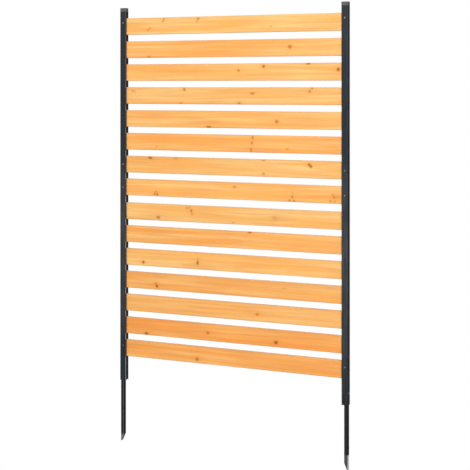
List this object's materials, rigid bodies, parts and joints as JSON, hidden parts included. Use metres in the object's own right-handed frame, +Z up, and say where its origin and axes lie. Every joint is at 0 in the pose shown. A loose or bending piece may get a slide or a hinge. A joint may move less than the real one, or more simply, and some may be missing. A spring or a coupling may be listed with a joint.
{
  "type": "garden privacy screen",
  "caption": "Garden privacy screen of level pine slats held one above the other between two steel channel posts on ground stakes.",
  "frame": {"origin": "midway between the posts, in the middle of their depth, at the height of their lower ends, which is the ground line", "axes": "X along the screen, +Y towards the back (the front, with the slat screws, faces -Y), +Z up"},
  "size_m": [1.0048, 0.0244, 1.8125],
  "materials": {
    "anthracite_steel": "matt powder coat",
    "black_steel": "dark coating, bare zinc towards the point",
    "stained_pine": "planed pine with an orange-brown stain",
    "grey_plastic": "moulded, warm grey",
    "black_plastic": "moulded, black",
    "zinc_screws": "zinc plated"
  },
  "bodies": {
    "root": {"left_post": "anthracite_steel", "right_post": "anthracite_steel", "slat_01": "stained_pine", "slat_02": "stained_pine", "slat_03": "stained_pine", "slat_04": "stained_pine", "slat_05": "stained_pine", "slat_06": "stained_pine", "slat_07": "stained_pine", "slat_08": "stained_pine", "slat_09": "stained_pine", "slat_10": "stained_pine", "slat_11": "stained_pine", "slat_12": "stained_pine", "slat_13": "stained_pine", "slat_14": "stained_pine", "slat_15": "stained_pine", "left_spacer_01": "black_plastic", "left_spacer_02": "black_plastic", "left_spacer_03": "black_plastic", "left_spacer_04": "black_plastic", "left_spacer_05": "black_plastic", "left_spacer_06": "black_plastic", "left_spacer_07": "black_plastic", "left_spacer_08": "black_plastic", "left_spacer_09": "black_plastic", "left_spacer_10": "black_plastic", "left_spacer_11": "black_plastic", "left_spacer_12": "black_plastic", "left_spacer_13": "black_plastic", "left_spacer_14": "black_plastic", "right_spacer_01": "black_plastic", "right_spacer_02": "black_plastic", "right_spacer_03": "black_plastic", "right_spacer_04": "black_plastic", "right_spacer_05": "black_plastic", "right_spacer_06": "black_plastic", "right_spacer_07": "black_plastic", "right_spacer_08": "black_plastic", "right_spacer_09": "black_plastic", "right_spacer_10": "black_plastic", "right_spacer_11": "black_plastic", "right_spacer_12": "black_plastic", "right_spacer_13": "black_plastic", "right_spacer_14": "black_plastic", "left_cap": "grey_plastic", "left_stake": "black_steel", "left_slat_screws": "zinc_screws", "left_stake_screw": "zinc_screws", "right_cap": "grey_plastic", "right_stake": "black_steel", "right_slat_screws": "zinc_screws", "right_stake_screw": "zinc_screws"}
  },
  "joints": []
}
